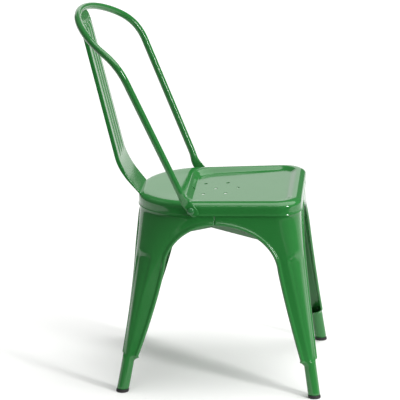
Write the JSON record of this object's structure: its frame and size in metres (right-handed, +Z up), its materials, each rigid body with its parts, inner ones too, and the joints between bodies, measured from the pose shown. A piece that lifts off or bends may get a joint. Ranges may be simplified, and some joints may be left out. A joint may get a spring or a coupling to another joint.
{
  "type": "stacking chair",
  "caption": "Stacking side chair of powder-coated pressed steel with arched legs, a bent-tube back hoop and a ribbed back splat.",
  "frame": {"origin": "centre of the chair's bounding box, on the floor", "axes": "+Z up, the front of the chair faces -Y, +X is the sitter's left"},
  "size_m": [0.4636, 0.5724, 0.8447],
  "materials": {
    "powder_coat": "glossy powder coat over pressed sheet steel and bent steel tube",
    "painted_bolt": "powder-coated bolt head",
    "zinc": "zinc-plated nut and washer",
    "rubber": "moulded black rubber",
    "plastic": "moulded black plastic"
  },
  "bodies": {
    "root": {"seat_pan": "powder_coat", "leg_front_left": "powder_coat", "glide_front_left": "rubber", "brace_cap_front_left": "plastic", "leg_front_right": "powder_coat", "glide_front_right": "rubber", "brace_cap_front_right": "plastic", "leg_rear_left": "powder_coat", "glide_rear_left": "rubber", "brace_cap_rear_left": "plastic", "leg_rear_right": "powder_coat", "glide_rear_right": "rubber", "brace_cap_rear_right": "plastic", "back_hoop": "powder_coat", "back_splat": "powder_coat", "brace_left": "powder_coat", "hoop_bolt_left": "painted_bolt", "hoop_washer_left": "zinc", "hoop_nut_left": "zinc", "brace_right": "powder_coat", "hoop_bolt_right": "painted_bolt", "hoop_washer_right": "zinc", "hoop_nut_right": "zinc"}
  },
  "joints": []
}
